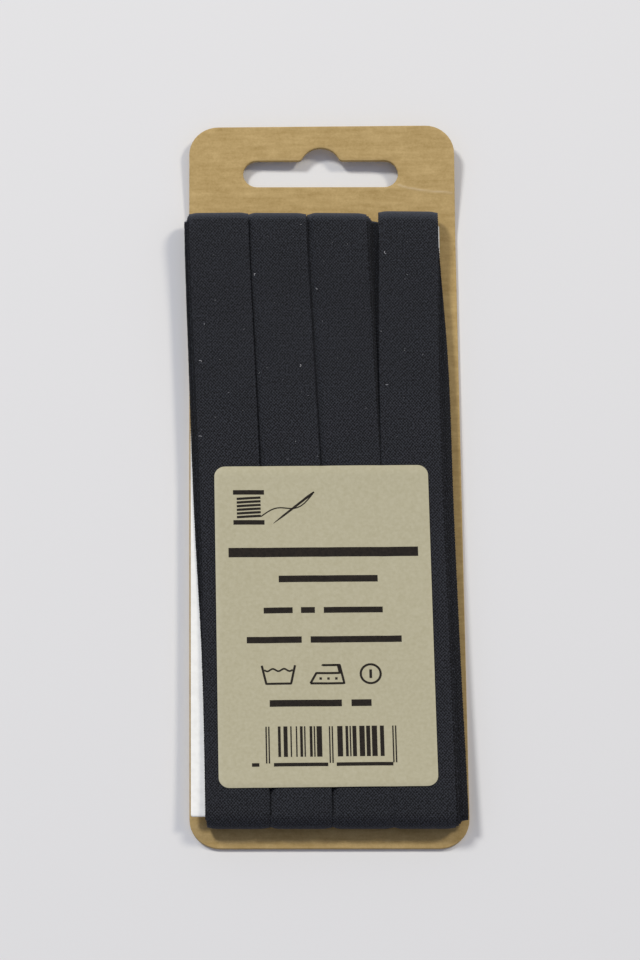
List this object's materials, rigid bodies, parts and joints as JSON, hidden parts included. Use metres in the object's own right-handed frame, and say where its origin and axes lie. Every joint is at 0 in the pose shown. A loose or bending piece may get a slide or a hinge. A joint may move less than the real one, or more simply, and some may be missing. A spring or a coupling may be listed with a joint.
{
  "type": "card of cotton tape",
  "caption": "Flat card of narrow woven cotton tape, wound lengthwise in side-by-side runs round a board on a kraft hanging card, with a blank paper label",
  "frame": {"origin": "middle of the flat back of the kraft card, on the surface it lies on", "axes": "+X to the card's right, +Y from its foot to the hanging hole, +Z out of its front"},
  "size_m": [0.0467, 0.13, 0.0053],
  "materials": {
    "kraft_card": "matt brown kraft board with fine fibres",
    "winding_board": "smooth off-white board",
    "cotton_tape": "matt charcoal plain-woven cotton",
    "paper_label": "satin beige paper with plain dark marks"
  },
  "bodies": {
    "root": {"kraft_card": "kraft_card", "winding_board": "winding_board", "tape_winding": "cotton_tape", "paper_label": "paper_label"}
  },
  "joints": []
}
